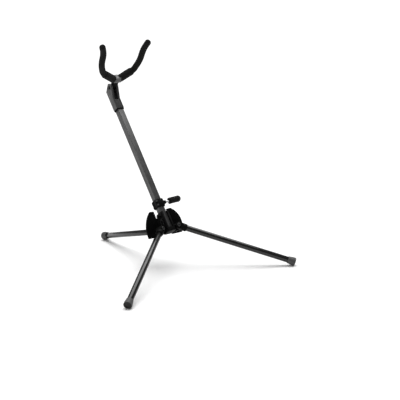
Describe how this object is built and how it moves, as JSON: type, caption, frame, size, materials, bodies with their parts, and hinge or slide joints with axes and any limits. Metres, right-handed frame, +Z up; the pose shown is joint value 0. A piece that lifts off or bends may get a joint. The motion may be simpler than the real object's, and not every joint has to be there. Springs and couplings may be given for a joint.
{
  "type": "saxophone stand",
  "caption": "Folding tripod stand with a leaning square bar, padded U-shaped yoke, padded side peg and cupped velvet wings at the hub.",
  "frame": {"origin": "on the floor, at the middle of the stand's footprint box", "axes": "+Z up, -Y the way the front legs point, +X to the right seen from the front, the side that the padded peg points to"},
  "size_m": [0.582, 0.5444, 0.6048],
  "materials": {
    "bar_paint": "satin charcoal powder coat",
    "leg_paint": "gloss black paint",
    "black_plastic": "matt moulded nylon",
    "head_paint": "satin charcoal",
    "grey_block": "satin grey",
    "bright_steel": "zinc plated",
    "black_steel": "black oxide",
    "rubber_cap": "matt",
    "foam": "fine closed-cell foam",
    "velvet": "flocked velvet"
  },
  "bodies": {
    "stand_frame": {"bar_top_plug": "black_plastic", "bar_tube": "bar_paint", "front_pivot_bolt_left": "black_steel", "front_pivot_bolt_right": "black_steel", "front_pivot_nut_left": "black_steel", "front_pivot_nut_right": "black_steel", "front_pivot_washer_left": "black_steel", "front_pivot_washer_right": "black_steel", "head_housing": "head_paint", "head_trim_ring": "black_plastic", "hub_bracket": "black_plastic", "hub_screws": "black_steel", "rear_pivot_bolt": "black_steel", "rear_pivot_nut": "black_steel", "rear_pivot_washers": "black_steel", "wing_pin_left": "bright_steel", "wing_pin_right": "bright_steel", "yoke_pivot_bolt": "black_steel", "yoke_pivot_nut": "black_steel"},
    "front_leg_right": {"front_leg_right_knuckle": "black_plastic", "front_leg_right_tube": "leg_paint", "front_leg_right_foot_cap": "rubber_cap"},
    "front_leg_left": {"front_leg_left_knuckle": "black_plastic", "front_leg_left_tube": "leg_paint", "front_leg_left_foot_cap": "rubber_cap"},
    "rear_leg": {"rear_leg_knuckle": "black_plastic", "rear_leg_tube": "leg_paint", "rear_leg_foot_cap": "rubber_cap"},
    "wing_right": {"wing_shell_right": "black_plastic", "wing_pad_right": "velvet"},
    "wing_left": {"wing_shell_left": "black_plastic", "wing_pad_left": "velvet"},
    "peg_collar_body": {"peg_collar": "black_plastic", "collar_clamp_screws": "black_steel", "peg_rod": "bright_steel", "peg_foam": "foam"},
    "yoke": {"yoke_block": "grey_block", "yoke_tongue": "black_steel", "yoke_rod_left": "bright_steel", "yoke_rod_right": "bright_steel", "yoke_sleeve_left": "foam", "yoke_sleeve_right": "foam", "yoke_tip_foam_left": "foam", "yoke_tip_foam_right": "foam"}
  },
  "joints": [
    {"name": "front_leg_right_fold", "type": "hinge", "parent": "stand_frame", "child": "front_leg_right", "pos_m": [0.03, -0.06149, 0.11496], "axis": [-0.3481, -0.7377, 0.5784], "range_deg": [0, 127.4]},
    {"name": "front_leg_left_fold", "type": "hinge", "parent": "stand_frame", "child": "front_leg_left", "pos_m": [-0.03, -0.06149, 0.11496], "axis": [-0.3481, 0.7377, -0.5784], "range_deg": [0, 127.4]},
    {"name": "rear_leg_fold", "type": "hinge", "parent": "stand_frame", "child": "rear_leg", "pos_m": [0, -0.02934, 0.09649], "axis": [1, 0, 0], "range_deg": [0, 68]},
    {"name": "wing_right_fold", "type": "hinge", "parent": "stand_frame", "child": "wing_right", "pos_m": [0.0185, -0.0433, 0.11061], "axis": [0, 0.3923, 0.9198], "range_deg": [0, 55]},
    {"name": "wing_left_fold", "type": "hinge", "parent": "stand_frame", "child": "wing_left", "pos_m": [-0.0185, -0.0433, 0.11061], "axis": [0, -0.3923, -0.9198], "range_deg": [0, 55]},
    {"name": "collar_slide", "type": "slide", "parent": "stand_frame", "child": "peg_collar_body", "axis": [0, 0.617, 0.7869], "range_m": [0, 0.19]},
    {"name": "yoke_fold", "type": "hinge", "parent": "stand_frame", "child": "yoke", "pos_m": [0, 0.20975, 0.46624], "axis": [1, 0, 0], "range_deg": [0, 82]}
  ]
}
